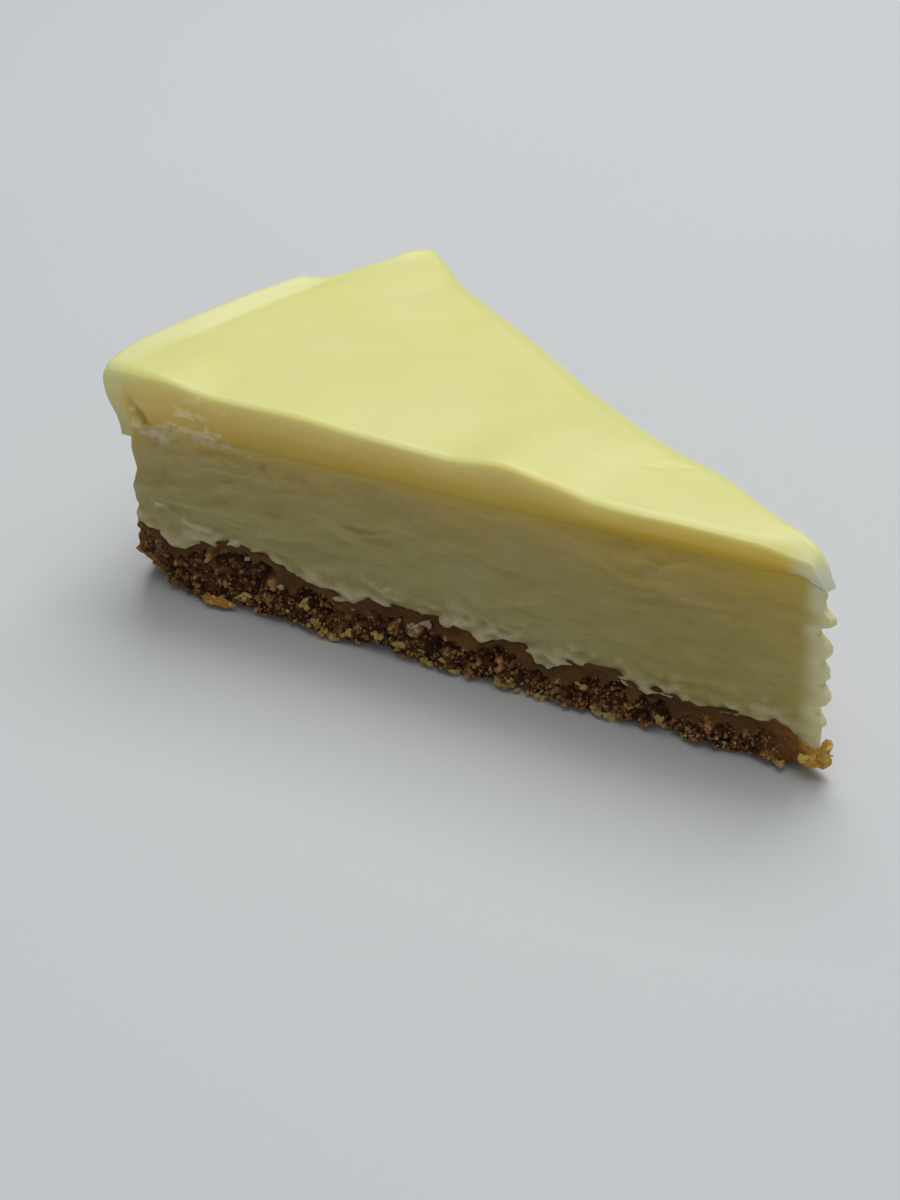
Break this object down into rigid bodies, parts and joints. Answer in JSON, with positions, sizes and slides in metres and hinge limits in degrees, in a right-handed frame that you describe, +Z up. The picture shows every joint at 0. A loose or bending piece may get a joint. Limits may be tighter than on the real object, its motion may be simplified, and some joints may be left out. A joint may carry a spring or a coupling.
{
  "type": "cheesecake slice",
  "caption": "Wedge slice of baked cheesecake: a crumbly biscuit base, a pale cheese filling and a soft lemon topping that laps over the rim.",
  "frame": {"origin": "the middle of the slice's length, on the flat underside of the biscuit base", "axes": "+X towards the tip, +Z up, the cut face that shows in the picture towards -Y"},
  "size_m": [0.1146, 0.0671, 0.0366],
  "materials": {
    "biscuit": "dry baked biscuit crumb, brown with golden bits",
    "cheese": "moist ivory cheese filling with a satin cut face",
    "lemon": "smooth pale lemon topping with a soft wet shine"
  },
  "bodies": {
    "root": {"biscuit_base": "biscuit", "cheese_filling": "cheese", "lemon_topping": "lemon"}
  },
  "joints": []
}
